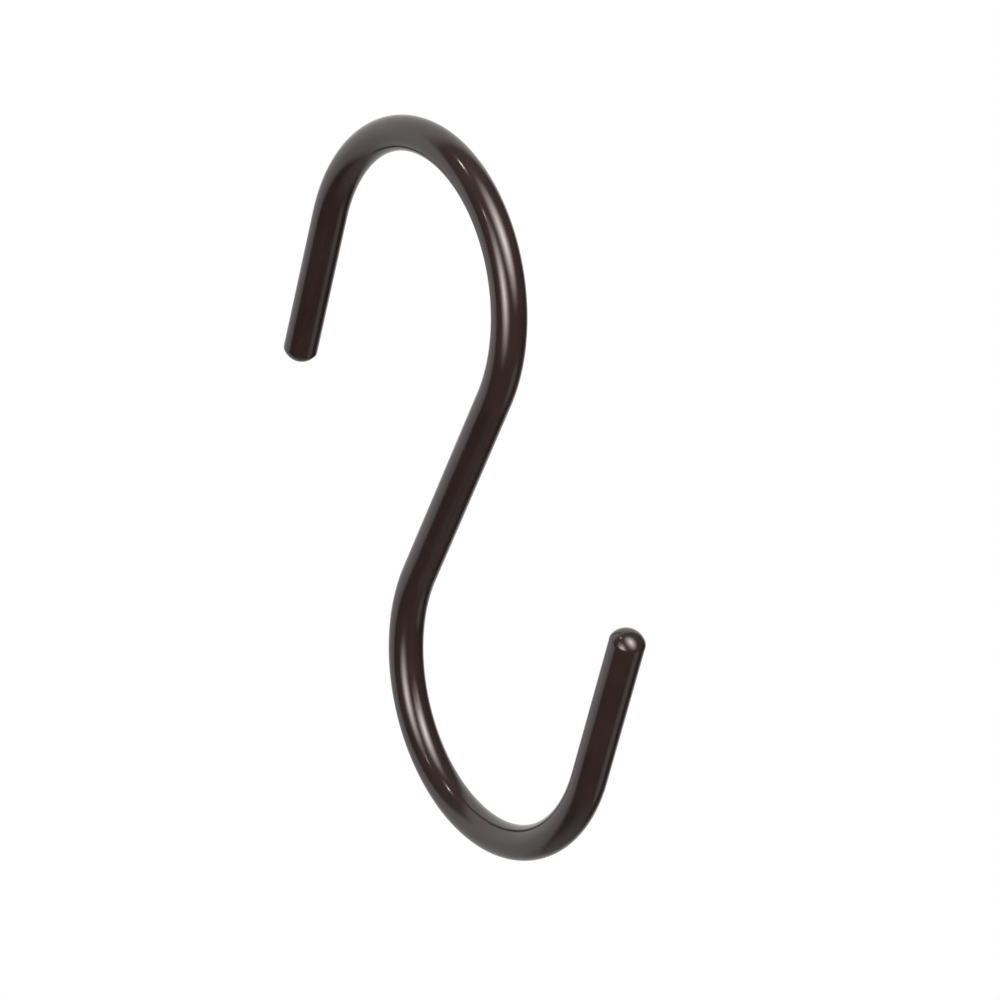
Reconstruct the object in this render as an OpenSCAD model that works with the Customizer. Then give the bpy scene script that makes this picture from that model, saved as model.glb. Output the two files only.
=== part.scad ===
// S hook bent from one length of round coated wire.
// Two equal loops face opposite ways at the ends of a straight shank, and both wire ends are crowned.
// Millimetres. The origin is the bearing point, at the inside top of the upper loop. +Z is up as the
// hook hangs, +X is the side that the lower loop opens to, and the wire lies in the XZ plane.

/* [Wire] */
// Thickness of the round wire, its coat included
wire_d = 4.2; // [3.4:0.1:6]
// How far the crown stands out at each wire end
crown_h = 1.55; // [0.9:0.05:1.7]
// Radius that rounds the rim of each crown
crown_rim_r = 0.75; // [0.3:0.05:0.85]

/* [Loops] */
// Clear width inside each loop
loop_d = 33.2; // [24:0.2:50]
// Angle that each loop turns through
loop_turn = 191; // [170:1:210]
// Length of the straight run past each loop, its crown included
end_len = 20.45; // [8:0.05:24]

/* [Shank] */
// Length of the straight shank between the loops
shank_len = 28.6; // [12:0.2:60]

/* [Hidden] */
$fn = 96;
coat_colour = [0.17, 0.13, 0.12];

wire_r = wire_d / 2;
// Radius of the wire's centre line round each loop
bend_r = loop_d / 2 + wire_r;
// Distance from the middle of the shank to the centre of either loop
reach = norm([bend_r, shank_len / 2]);
// Lean of the shank from upright, which sets the two loop centres one above the other
lean = atan2(bend_r, shank_len / 2);
// Height of the hook's middle, half way along the shank
middle_z = -(loop_d / 2 + reach);
// Angle by which each half of a bend runs past the bend's middle, into the other half
half_overlap = 5;
half_turn = loop_turn / 2 + half_overlap;
// Length of the straight run past each loop, without its crown
straight_len = end_len - crown_h;

// The crown's face is one large arc that meets the small arc of its rim on a shared tangent
rim_centre_r = wire_r - crown_rim_r;
crown_r = (rim_centre_r ^ 2 + crown_h ^ 2 - crown_rim_r ^ 2) / (2 * (crown_h - crown_rim_r));
meet_r = crown_r * rim_centre_r / (crown_r - crown_rim_r);

module end_profile() {
    square([wire_r, straight_len]);
    translate([0, straight_len]) {
        intersection() {
            translate([rim_centre_r, 0]) circle(crown_rim_r);
            square([wire_r, crown_h]);
        }
        intersection() {
            translate([0, crown_h - crown_r]) circle(crown_r);
            square([meet_r, crown_h]);
        }
    }
}

// One wire end, standing on the loop with its crown at the top
module wire_end() {
    rotate_extrude() end_profile();
}

// Part of a loop's round stretch, standing in the XZ plane, from its -X side down and round
module half_bend() {
    rotate([90, 0, 0]) rotate([0, 0, 180])
        rotate_extrude(angle = half_turn) translate([bend_r, 0]) circle(wire_r);
}

// The lower loop and its wire end, from the foot of an upright shank. One half of the bend is set
// square to the shank and the other square to the wire end, and they run into each other.
module loop() {
    translate([bend_r, 0, -shank_len / 2]) {
        half_bend();
        rotate([0, 180 - loop_turn, 0]) {
            mirror([1, 0, 0]) half_bend();
            translate([bend_r, 0, 0]) wire_end();
        }
    }
}

module shank() {
    translate([0, 0, -shank_len / 2]) cylinder(h = shank_len, r = wire_r);
}

// The upper loop is the lower one turned half round the middle of the shank
module hook() {
    color(coat_colour)
        translate([0, 0, middle_z]) rotate([0, lean, 0]) {
            shank();
            for (turn = [0, 180]) rotate([0, turn, 0]) loop();
        }
}

hook();
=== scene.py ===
import math

import bpy
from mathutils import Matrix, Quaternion, Vector


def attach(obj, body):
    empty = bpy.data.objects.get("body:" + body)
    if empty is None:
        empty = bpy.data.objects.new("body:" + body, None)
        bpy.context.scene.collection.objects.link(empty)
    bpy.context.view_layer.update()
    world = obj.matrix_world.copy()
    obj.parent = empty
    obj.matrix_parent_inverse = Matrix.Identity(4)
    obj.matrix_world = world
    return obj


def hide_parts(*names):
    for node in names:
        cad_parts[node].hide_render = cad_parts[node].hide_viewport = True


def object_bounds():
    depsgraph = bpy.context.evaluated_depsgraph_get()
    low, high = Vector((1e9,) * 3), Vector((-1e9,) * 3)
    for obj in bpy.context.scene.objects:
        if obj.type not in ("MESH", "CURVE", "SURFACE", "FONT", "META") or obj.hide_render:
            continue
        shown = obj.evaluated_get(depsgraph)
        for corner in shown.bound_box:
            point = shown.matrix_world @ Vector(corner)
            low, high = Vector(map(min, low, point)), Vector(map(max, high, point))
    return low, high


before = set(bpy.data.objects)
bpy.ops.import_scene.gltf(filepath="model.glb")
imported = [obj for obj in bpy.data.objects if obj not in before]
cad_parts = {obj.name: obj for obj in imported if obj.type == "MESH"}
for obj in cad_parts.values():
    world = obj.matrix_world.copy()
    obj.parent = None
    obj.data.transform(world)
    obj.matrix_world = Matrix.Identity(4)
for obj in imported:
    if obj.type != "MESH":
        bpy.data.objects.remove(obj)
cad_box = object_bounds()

MM = 0.001

# The hook's sizes, as its solid has them
WIRE_R = 2.1 * MM
CROWN_H = 1.55 * MM
CROWN_RIM_R = 0.75 * MM
LOOP_D = 33.2 * MM
LOOP_TURN = math.radians(191)
END_LEN = 20.45 * MM
SHANK_LEN = 28.6 * MM

BEND_R = LOOP_D / 2 + WIRE_R
REACH = math.hypot(BEND_R, SHANK_LEN / 2)
LEAN = math.atan2(BEND_R, SHANK_LEN / 2)
MIDDLE = Vector((0, 0, -(LOOP_D / 2 + REACH)))
STRAIGHT_LEN = END_LEN - CROWN_H

# How finely the wire is swept
SIDES = 96
RING_GAP = 0.5 * MM
CROWN_RINGS = 14

# The direction square to the plane that the wire lies in
SIDEWAYS = Vector((0, 1, 0))

# The brown of the coat, from its darkest to its palest, and how large and fine its mottle is.
# Each noise scale is in waves per metre, and each range is the part of the noise that is used.
COAT_COLOURS = ((0.0215, 0.0131, 0.0124, 1), (0.0285, 0.0174, 0.0164, 1))
MOTTLE_SCALE = 260
MOTTLE_DETAIL = 3
MOTTLE_RANGE = (0.3, 0.75)

# The gloss of the coat, and how its roughness varies
COAT_IOR = 1.65
COAT_ROUGHNESS = (0.11, 0.19)
HAZE_SCALE = 120
HAZE_DETAIL = 4
HAZE_RANGE = (0.3, 0.7)

# The slight waviness of the coat
WAVE_SCALE = 900
WAVE_DETAIL = 2
WAVE_STRENGTH = 0.5
WAVE_HEIGHT = 0.012 * MM

# The camera, as the photograph was taken
CAMERA_AIM = Vector((2.64, 3.93, -42.56)) * MM
CAMERA_DISTANCE = 464.4 * MM
CAMERA_AZIMUTH = 54.86
CAMERA_ELEVATION = -2.41
CAMERA_ROLL = -12.10
CAMERA_LENS = 142.94
CAMERA_CLIP = (0.01, 100)

# Studio lamps: where each soft box stands as seen from the hook and how wide and high it looks from there,
# in degrees, how steeply it dims away from its middle, and how bright the middle is. The side lamp and the
# near lamp make the two streaks along each loop, and the two small ones make the glints. The fill behind
# lights the side that is turned away from the camera, and the gloss doesn't mirror it.
LAMP_DISTANCE = 0.45
LAMP_COLOUR = (1, 0.91, 0.89)
LAMPS = {
    "side_lamp": {
        "azimuth": 90, "elevation": 18.5, "width": 68, "height": 94, "turn": 17,
        "falloff": 2.1, "radiance": 12.7,
    },
    "near_lamp": {
        "azimuth": 149, "elevation": -6, "width": 60, "height": 80,
        "falloff": 2.0, "radiance": 11.1,
    },
    "spot_lamp": {
        "azimuth": 151, "elevation": 59.5, "width": 6, "height": 6,
        "falloff": 0.8, "radiance": 38.0,
    },
    "low_spot_lamp": {
        "azimuth": 157, "elevation": 28, "width": 5, "height": 5,
        "falloff": 0.8, "radiance": 16.0,
    },
    "back_fill": {
        "azimuth": -55, "elevation": 20, "width": 80, "height": 60,
        "falloff": 1.0, "radiance": 5.0, "mirrored": False,
    },
}

# Round patches of the room, in degrees as seen from the hook: the pale wall on the camera's far side with a
# darker gap in it, the ceiling above it, and two faint pale patches low down, one to the side and one below
# the wall
WALL = {"azimuth": -81, "elevation": 12, "half_angle": 65, "soft_edge": 5, "level": 1}
GAP = {"azimuth": -93, "elevation": 10, "half_angle": 11, "soft_edge": 10, "level": 0.35}
CEILING = {"azimuth": -75, "elevation": 35, "half_angle": 56, "soft_edge": 6, "level": 0.97}
PATCH = {"azimuth": 21, "elevation": -58, "half_angle": 11, "soft_edge": 7, "level": 0.24}
FOOT = {"azimuth": -85, "elevation": -62, "half_angle": 26, "soft_edge": 12, "level": 0.14}
# How bright the wall and the ceiling are, by the sine of the elevation
WALL_SHADES = ((-0.85, 0.04), (-0.45, 0.38), (0, 0.51), (0.45, 0.84))
# How bright the rest of the room is, at the horizon and below, and overhead
ROOM_LOW = 0.02
ROOM_HIGH = 0.15

# The floor, a disc that fades into the white round it: how far below the hook it lies, its radius and the
# width of its faded rim in metres, how pale its paper is, and how much of it glows as the camera sees it
FLOOR_DEPTH = 0.5
FLOOR_RADIUS = 1.1
FLOOR_FADE = 0.7
FLOOR_COLOUR = 0.8
FLOOR_GLOW = 0.45


def direction(azimuth, elevation):
    """The unit vector towards an azimuth from +Y round to +X, and an elevation above level, in degrees."""
    a, e = math.radians(azimuth), math.radians(elevation)
    return Vector((math.sin(a) * math.cos(e), math.cos(a) * math.cos(e), math.sin(e)))


# Shape

def spread(length):
    """How many equal steps a stretch of wire is swept in."""
    return max(1, round(length / RING_GAP))


def half_line():
    """The centre line from the middle of the shank to the lower wire end.

    Each row is a place and a heading in the wire's own plane.
    """
    rows = []
    steps = spread(SHANK_LEN / 2)
    for i in range(steps):
        rows.append((Vector((0, -SHANK_LEN / 2 * i / steps)), Vector((0, -1))))
    centre = Vector((BEND_R, -SHANK_LEN / 2))
    steps = spread(BEND_R * LOOP_TURN)
    for i in range(steps):
        turn = LOOP_TURN * i / steps
        outward = Vector((math.cos(turn), math.sin(turn)))
        rows.append((centre - BEND_R * outward, Vector((math.sin(turn), -math.cos(turn)))))
    heading = Vector((math.sin(LOOP_TURN), -math.cos(LOOP_TURN)))
    start = centre - BEND_R * Vector((math.cos(LOOP_TURN), math.sin(LOOP_TURN)))
    steps = spread(STRAIGHT_LEN)
    for i in range(steps + 1):
        rows.append((start + heading * (STRAIGHT_LEN * i / steps), heading))
    return rows


def crown_profile():
    """Height and radius of each ring of the crown, from the rim up to just short of its middle."""
    rim_centre_r = WIRE_R - CROWN_RIM_R
    crown_r = (rim_centre_r ** 2 + CROWN_H ** 2 - CROWN_RIM_R ** 2) / (2 * (CROWN_H - CROWN_RIM_R))
    meet = math.asin(rim_centre_r / (crown_r - CROWN_RIM_R))
    rows = []
    for i in range(1, CROWN_RINGS + 1):
        angle = (math.pi / 2 - meet) * i / CROWN_RINGS
        rows.append((CROWN_RIM_R * math.sin(angle), rim_centre_r + CROWN_RIM_R * math.cos(angle)))
    for i in range(1, CROWN_RINGS):
        angle = meet * (1 - i / CROWN_RINGS)
        rows.append((CROWN_H - crown_r + crown_r * math.cos(angle), crown_r * math.sin(angle)))
    return rows


def in_frame(place):
    """A point of the wire's plane, put where the hanging hook has it."""
    across, up = place
    return MIDDLE + Vector((
        math.cos(LEAN) * across + math.sin(LEAN) * up,
        0,
        -math.sin(LEAN) * across + math.cos(LEAN) * up,
    ))


def hook_rings():
    """Every ring of the sweep from the upper wire end to the lower one, and the tip of the lower crown.

    Each ring is a centre, a heading and a radius. The upper half is the lower one turned half round.
    """
    lower = [(place, heading, WIRE_R) for place, heading in half_line()]
    tip, heading, _ = lower[-1]
    lower += [(tip + heading * height, heading, radius) for height, radius in crown_profile()]
    upper = [(-place, heading, radius) for place, heading, radius in reversed(lower[1:])]
    return upper + lower, tip + heading * CROWN_H


def hook_mesh():
    rings, tip = hook_rings()
    points, faces = [], []
    for place, heading, radius in rings:
        outward = in_frame(place + Vector((heading.y, -heading.x))) - in_frame(place)
        for k in range(SIDES):
            angle = 2 * math.pi * k / SIDES
            spoke = math.cos(angle) * outward + math.sin(angle) * SIDEWAYS
            points.append(in_frame(place) + radius * spoke)
    for row in range(len(rings) - 1):
        for k in range(SIDES):
            here, beside = row * SIDES + k, row * SIDES + (k + 1) % SIDES
            faces.append((here, beside, beside + SIDES, here + SIDES))
    points += [in_frame(-tip), in_frame(tip)]
    last = (len(rings) - 1) * SIDES
    for k in range(SIDES):
        beside = (k + 1) % SIDES
        faces.append((len(points) - 2, beside, k))
        faces.append((len(points) - 1, last + k, last + beside))
    mesh = bpy.data.meshes.new("hook_coat")
    mesh.from_pydata(points, [], faces)
    mesh.validate()
    mesh.update()
    mesh.shade_smooth()
    return mesh


# Nodes

def noise(nodes, links, place, scale, detail):
    node = nodes.new("ShaderNodeTexNoise")
    node.inputs["Scale"].default_value = scale
    node.inputs["Detail"].default_value = detail
    links.new(place, node.inputs["Vector"])
    return node.outputs["Fac"]


def map_range(nodes, links, value, low, high, to_low, to_high):
    node = nodes.new("ShaderNodeMapRange")
    for name, number in (("From Min", low), ("From Max", high), ("To Min", to_low), ("To Max", to_high)):
        node.inputs[name].default_value = number
    links.new(value, node.inputs["Value"])
    return node.outputs["Result"]


def math_node(nodes, links, operation, first, second):
    node = nodes.new("ShaderNodeMath")
    node.operation = operation
    for socket, value in zip(node.inputs, (first, second)):
        if isinstance(value, (int, float)):
            socket.default_value = value
        else:
            links.new(value, socket)
    return node.outputs[0]


def length_of(nodes, links, vector):
    node = nodes.new("ShaderNodeVectorMath")
    node.operation = "LENGTH"
    links.new(vector, node.inputs[0])
    return node.outputs["Value"]


def mix_shaders(nodes, links, share, first, second):
    """Mixes two surfaces or backgrounds, with the given share of the second."""
    node = nodes.new("ShaderNodeMixShader")
    links.new(share, node.inputs["Fac"])
    links.new(first, node.inputs[1])
    links.new(second, node.inputs[2])
    return node.outputs[0]


# Materials

def new_material(name):
    material = bpy.data.materials.new(name)
    material.use_nodes = True
    nodes = material.node_tree.nodes
    nodes.clear()
    return material, nodes, material.node_tree.links


def coat_material():
    """Dark brown baked lacquer, glossy and even.

    It has a faint mottle, and the slight waviness that such a coat dries with.
    """
    material, nodes, links = new_material("brown_lacquer")
    place = nodes.new("ShaderNodeTexCoord").outputs["Object"]
    out = nodes.new("ShaderNodeOutputMaterial")
    shader = nodes.new("ShaderNodeBsdfPrincipled")
    links.new(shader.outputs["BSDF"], out.inputs["Surface"])
    shader.inputs["IOR"].default_value = COAT_IOR

    colour = nodes.new("ShaderNodeValToRGB")
    for stop, position, shade in zip(colour.color_ramp.elements, MOTTLE_RANGE, COAT_COLOURS):
        stop.position = position
        stop.color = shade
    links.new(noise(nodes, links, place, MOTTLE_SCALE, MOTTLE_DETAIL), colour.inputs["Fac"])
    links.new(colour.outputs["Color"], shader.inputs["Base Color"])

    haze = noise(nodes, links, place, HAZE_SCALE, HAZE_DETAIL)
    links.new(map_range(nodes, links, haze, *HAZE_RANGE, *COAT_ROUGHNESS), shader.inputs["Roughness"])

    bump = nodes.new("ShaderNodeBump")
    bump.inputs["Strength"].default_value = WAVE_STRENGTH
    bump.inputs["Distance"].default_value = WAVE_HEIGHT
    links.new(noise(nodes, links, place, WAVE_SCALE, WAVE_DETAIL), bump.inputs["Height"])
    links.new(bump.outputs["Normal"], shader.inputs["Normal"])
    return material


def floor_material():
    """Plain pale paper that glows a little where the camera sees it, and fades out towards its edge."""
    material, nodes, links = new_material("pale_floor")
    out = nodes.new("ShaderNodeOutputMaterial")
    paper = nodes.new("ShaderNodeBsdfDiffuse")
    paper.inputs["Color"].default_value = (FLOOR_COLOUR, FLOOR_COLOUR, FLOOR_COLOUR, 1)
    glow = nodes.new("ShaderNodeEmission")
    rays = nodes.new("ShaderNodeLightPath").outputs
    seen = math_node(nodes, links, "ADD", rays["Is Camera Ray"], rays["Is Transmission Ray"])
    seen = math_node(nodes, links, "ADD", seen, rays["Is Glossy Ray"])
    share = math_node(nodes, links, "MULTIPLY", seen, FLOOR_GLOW)
    lit = mix_shaders(nodes, links, share, paper.outputs[0], glow.outputs[0])

    away = length_of(nodes, links, nodes.new("ShaderNodeTexCoord").outputs["Object"])
    fade = map_range(nodes, links, away, FLOOR_RADIUS - FLOOR_FADE, FLOOR_RADIUS, 0, 1)
    gone = nodes.new("ShaderNodeBsdfTransparent")
    links.new(mix_shaders(nodes, links, fade, lit, gone.outputs[0]), out.inputs["Surface"])
    return material


# Studio

def disc_of_sky(nodes, links, place, azimuth, elevation, half_angle, soft_edge, level):
    """The level inside a round patch of directions, and none outside it."""
    facing = nodes.new("ShaderNodeVectorMath")
    facing.operation = "DOT_PRODUCT"
    facing.inputs[1].default_value = direction(azimuth, elevation)
    links.new(place, facing.inputs[0])
    outer = math.cos(math.radians(half_angle + soft_edge))
    inner = math.cos(math.radians(half_angle - soft_edge))
    return map_range(nodes, links, facing.outputs["Value"], outer, inner, 0, level)


def backdrop_level(nodes, links, place, height):
    """How bright the wall, the ceiling and the two low patches are in each direction."""
    wall = disc_of_sky(nodes, links, place, **WALL)
    ceiling = disc_of_sky(nodes, links, place, **CEILING)
    gap = disc_of_sky(nodes, links, place, **GAP)
    patch = disc_of_sky(nodes, links, place, **PATCH)
    foot = disc_of_sky(nodes, links, place, **FOOT)

    # The ramp runs from 0 straight down to 1 straight up
    shade = nodes.new("ShaderNodeValToRGB")
    for sine, _ in WALL_SHADES[1:-1]:
        shade.color_ramp.elements.new((sine + 1) / 2)
    for stop, (sine, level) in zip(shade.color_ramp.elements, WALL_SHADES):
        stop.position = (sine + 1) / 2
        stop.color = (level, level, level, 1)
    links.new(map_range(nodes, links, height, -1, 1, 0, 1), shade.inputs["Fac"])

    wall = math_node(nodes, links, "MAXIMUM", wall, ceiling)
    wall = math_node(nodes, links, "MULTIPLY", wall, shade.outputs["Color"])
    wall = math_node(nodes, links, "MULTIPLY", wall, math_node(nodes, links, "SUBTRACT", 1, gap))
    low = math_node(nodes, links, "MAXIMUM", patch, foot)
    return math_node(nodes, links, "MAXIMUM", wall, low)


def make_world():
    """A dim room with a pale wall on one side, which the gloss mirrors. The camera sees white all round."""
    world = bpy.data.worlds.new("studio")
    bpy.context.scene.world = world
    world.use_nodes = True
    nodes, links = world.node_tree.nodes, world.node_tree.links
    nodes.clear()
    place = nodes.new("ShaderNodeTexCoord").outputs["Generated"]
    parts = nodes.new("ShaderNodeSeparateXYZ")
    links.new(place, parts.inputs[0])
    height = parts.outputs["Z"]
    backdrop = backdrop_level(nodes, links, place, height)

    rays = nodes.new("ShaderNodeLightPath").outputs
    seen = math_node(nodes, links, "ADD", rays["Is Camera Ray"], rays["Is Transmission Ray"])
    mirrored = math_node(nodes, links, "MULTIPLY", rays["Is Glossy Ray"], backdrop)
    whiteness = math_node(nodes, links, "ADD", seen, mirrored)

    room_level = map_range(nodes, links, height, 0, 1, ROOM_LOW, ROOM_HIGH)
    room = nodes.new("ShaderNodeBackground")
    room.inputs["Color"].default_value = (1, 1, 1, 1)
    links.new(math_node(nodes, links, "MAXIMUM", room_level, backdrop), room.inputs["Strength"])
    white = nodes.new("ShaderNodeBackground")
    white.inputs["Color"].default_value = (1, 1, 1, 1)
    white.inputs["Strength"].default_value = 1
    out = nodes.new("ShaderNodeOutputWorld")
    links.new(mix_shaders(nodes, links, whiteness, room.outputs[0], white.outputs[0]), out.inputs["Surface"])


def soften(data, falloff):
    """Makes a soft box brightest in its middle and dark at its edge, as a lamp behind cloth is."""
    data.use_nodes = True
    nodes, links = data.node_tree.nodes, data.node_tree.links
    nodes.clear()
    # The place on the lamp's face, from 0 to 1 each way, is made to run from -1 to 1
    centred = nodes.new("ShaderNodeVectorMath")
    centred.operation = "MULTIPLY_ADD"
    centred.inputs[1].default_value = (2, 2, 0)
    centred.inputs[2].default_value = (-1, -1, 0)
    links.new(nodes.new("ShaderNodeNewGeometry").outputs["Parametric"], centred.inputs[0])
    away = length_of(nodes, links, centred.outputs["Vector"])
    level = map_range(nodes, links, away, 0, 1, 1, 0)
    glow = nodes.new("ShaderNodeEmission")
    links.new(math_node(nodes, links, "POWER", level, falloff), glow.inputs["Strength"])
    out = nodes.new("ShaderNodeOutputLight")
    links.new(glow.outputs[0], out.inputs["Surface"])


def make_lamp(name, azimuth, elevation, width, height, falloff, radiance, turn=0, mirrored=True):
    data = bpy.data.lights.new(name, "AREA")
    data.shape = "RECTANGLE"
    data.color = LAMP_COLOUR
    data.size = 2 * LAMP_DISTANCE * math.tan(math.radians(width) / 2)
    data.size_y = 2 * LAMP_DISTANCE * math.tan(math.radians(height) / 2)
    data.energy = radiance * math.pi * data.size * data.size_y
    soften(data, falloff)
    lamp = bpy.data.objects.new(name, data)
    lamp.visible_camera = False
    lamp.visible_glossy = mirrored
    away = direction(azimuth, elevation)
    lamp.location = MIDDLE + away * LAMP_DISTANCE
    lamp.rotation_mode = "QUATERNION"
    lamp.rotation_quaternion = away.to_track_quat("Z", "Y") @ Quaternion((0, 0, 1), math.radians(turn))
    bpy.context.scene.collection.objects.link(lamp)


def make_floor():
    mesh = bpy.data.meshes.new("floor")
    half = FLOOR_RADIUS
    corners = [(-half, -half, 0), (half, -half, 0), (half, half, 0), (-half, half, 0)]
    mesh.from_pydata(corners, [], [(0, 1, 2, 3)])
    mesh.materials.append(floor_material())
    floor = bpy.data.objects.new("floor", mesh)
    floor.location.z = cad_box[0].z - FLOOR_DEPTH
    floor.visible_glossy = False
    bpy.context.scene.collection.objects.link(floor)


def make_camera():
    data = bpy.data.cameras.new("camera")
    data.lens = CAMERA_LENS
    data.clip_start, data.clip_end = CAMERA_CLIP
    camera = bpy.data.objects.new("camera", data)
    a, e = math.radians(CAMERA_AZIMUTH), math.radians(CAMERA_ELEVATION)
    back = Vector((math.sin(a) * math.cos(e), -math.cos(a) * math.cos(e), math.sin(e)))
    camera.location = CAMERA_AIM + back * CAMERA_DISTANCE
    camera.rotation_mode = "QUATERNION"
    level = (-back).to_track_quat("-Z", "Y")
    camera.rotation_quaternion = level @ Quaternion((0, 0, 1), math.radians(CAMERA_ROLL))
    bpy.context.scene.collection.objects.link(camera)
    bpy.context.scene.camera = camera


scene = bpy.context.scene
scene.view_settings.view_transform = "Standard"
make_camera()
make_world()
make_floor()
for name, lamp in LAMPS.items():
    make_lamp(name, **lamp)

hook = bpy.data.objects.new("hook_coat", hook_mesh())
scene.collection.objects.link(hook)
hook.data.materials.append(coat_material())
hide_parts("hook")
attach(hook, "root")
